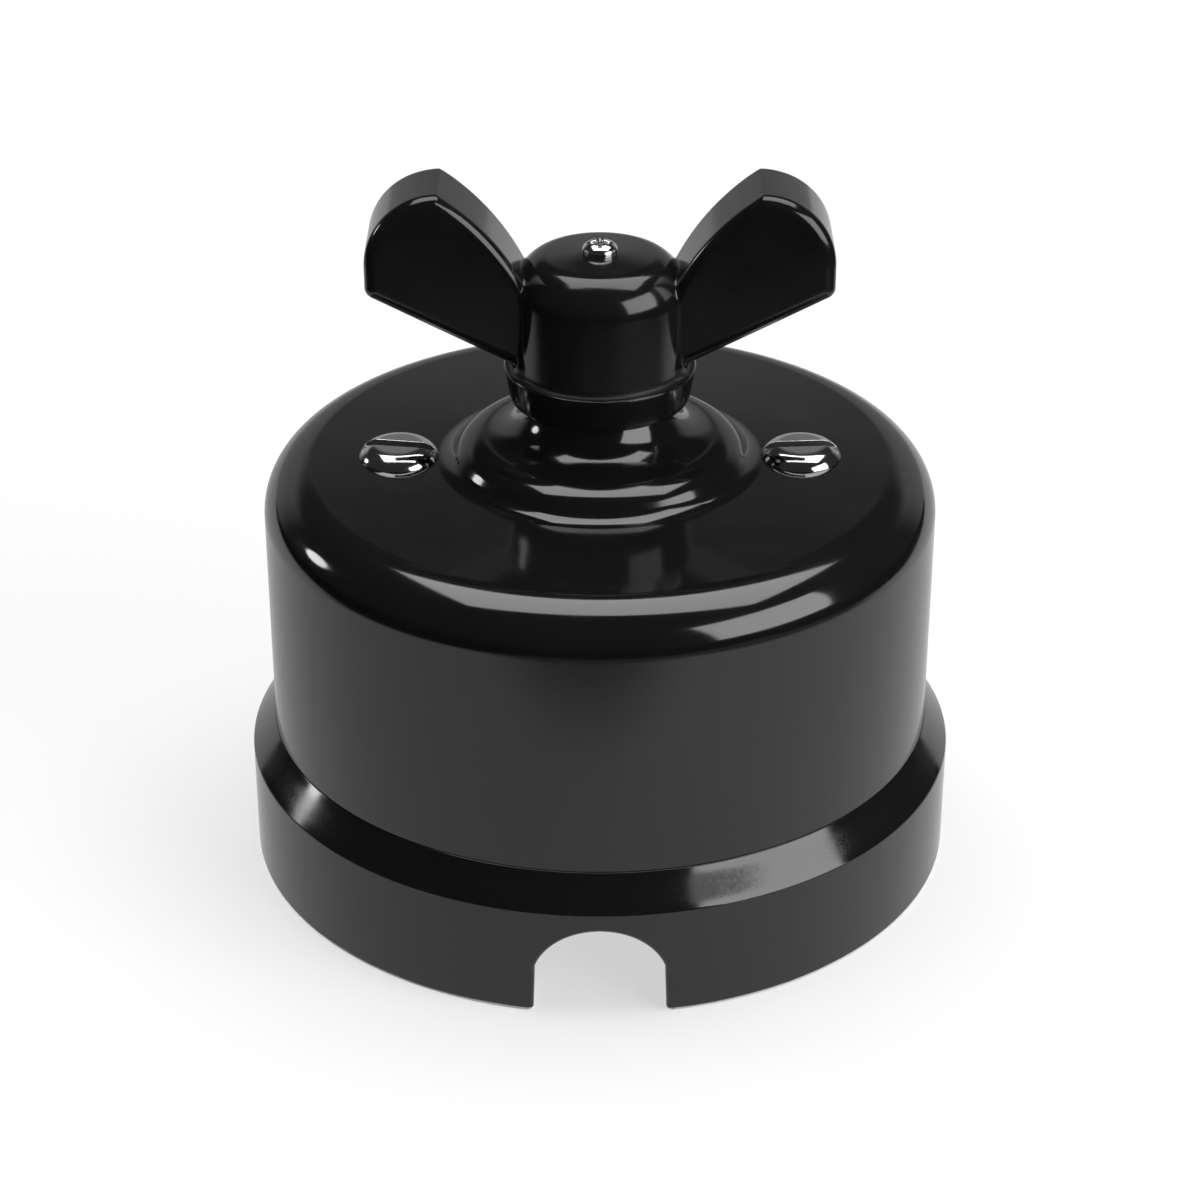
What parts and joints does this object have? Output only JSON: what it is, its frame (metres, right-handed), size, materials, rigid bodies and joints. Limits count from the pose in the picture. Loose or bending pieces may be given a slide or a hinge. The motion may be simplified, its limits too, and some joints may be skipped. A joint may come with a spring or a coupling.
{
  "type": "porcelain rotary switch",
  "caption": "Surface-mounted round rotary light switch: glazed porcelain base and domed cover, winged knob on a snap-action spindle, arched cable notch in the foot ring.",
  "frame": {"origin": "centre of the foot ring, on the wall plane", "axes": "+Z away from the wall along the spindle, X along the knob's wings and the two cover screws at rest, -Y through the cable notch"},
  "size_m": [0.07, 0.07, 0.0693],
  "materials": {
    "black_glaze": "gloss black glaze",
    "knob_black": "gloss black moulding",
    "chrome": "polished plating",
    "steel": "zinc plated",
    "spring_steel": "hardened strip",
    "spring_bronze": "bronze strip",
    "brass": "turned brass",
    "drum_moulding": "brown thermoset",
    "fibre": "vulcanised fibre"
  },
  "bodies": {
    "housing": {"base": "black_glaze", "bearing_bridge": "steel", "bearing_bush": "brass", "bridge_nut_back": "steel", "bridge_nut_front": "steel", "bridge_screw_back": "steel", "bridge_screw_front": "steel", "clamp_screw_left": "steel", "clamp_screw_right": "steel", "contact_jaw_left": "spring_bronze", "contact_jaw_right": "spring_bronze", "cover": "black_glaze", "cover_screw_left": "chrome", "cover_screw_right": "chrome", "detent_spring_back": "spring_steel", "detent_spring_front": "spring_steel", "jaw_screw_left": "steel", "jaw_screw_right": "steel", "pillar_left": "brass", "pillar_right": "brass", "pillar_screw_left": "steel", "pillar_screw_right": "steel", "terminal_left": "brass", "terminal_right": "brass", "terminal_screw_left": "steel", "terminal_screw_right": "steel", "thrust_washer": "fibre"},
    "rotor": {"knob": "knob_black", "knob_screw": "chrome", "spindle": "steel", "detent_cam": "steel", "rotor_drum": "drum_moulding", "contact_bridge": "brass"}
  },
  "joints": [
    {"name": "knob_turn", "type": "hinge", "parent": "housing", "child": "rotor", "pos_m": [0, 0, 0.036], "axis": [0, 0, 1], "continuous": true, "deforming": ["detent_spring_front", "detent_spring_back"]}
  ]
}
